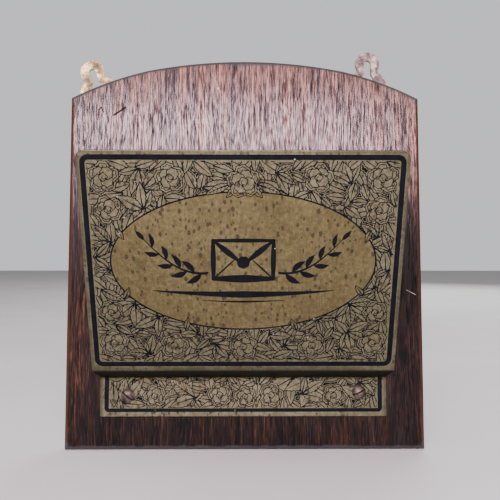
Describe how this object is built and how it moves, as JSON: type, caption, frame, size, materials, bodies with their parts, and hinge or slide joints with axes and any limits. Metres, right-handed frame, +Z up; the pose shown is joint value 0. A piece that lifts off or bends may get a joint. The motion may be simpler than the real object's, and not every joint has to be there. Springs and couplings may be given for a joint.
{
  "type": "wall letter rack",
  "caption": "Wall-hung letter rack: arched hardwood board with a folded, engraved brass pocket that leans forward, and keyhole hanger plates behind the top edge.",
  "frame": {"origin": "the middle of the board's back face, half way up its full height", "axes": "+X to the right seen from the front, +Y into the wall, +Z up"},
  "size_m": [0.228, 0.0718, 0.2604],
  "materials": {
    "dark_oak": "stained and waxed open-grained oak",
    "engraved_brass": "aged sheet with black enamel in its engraving",
    "browned_screw": "browned, dull",
    "cast_brass": "dull, blotched",
    "steel_screw": "plain, tarnished"
  },
  "bodies": {
    "root": {"back_board": "dark_oak", "brass_pocket": "engraved_brass", "flange_screw_left": "browned_screw", "flange_screw_right": "browned_screw", "hanger_left": "cast_brass", "hanger_right": "cast_brass", "hanger_screw_left_outer": "steel_screw", "hanger_screw_left_inner": "steel_screw", "hanger_screw_right_inner": "steel_screw", "hanger_screw_right_outer": "steel_screw"}
  },
  "joints": []
}
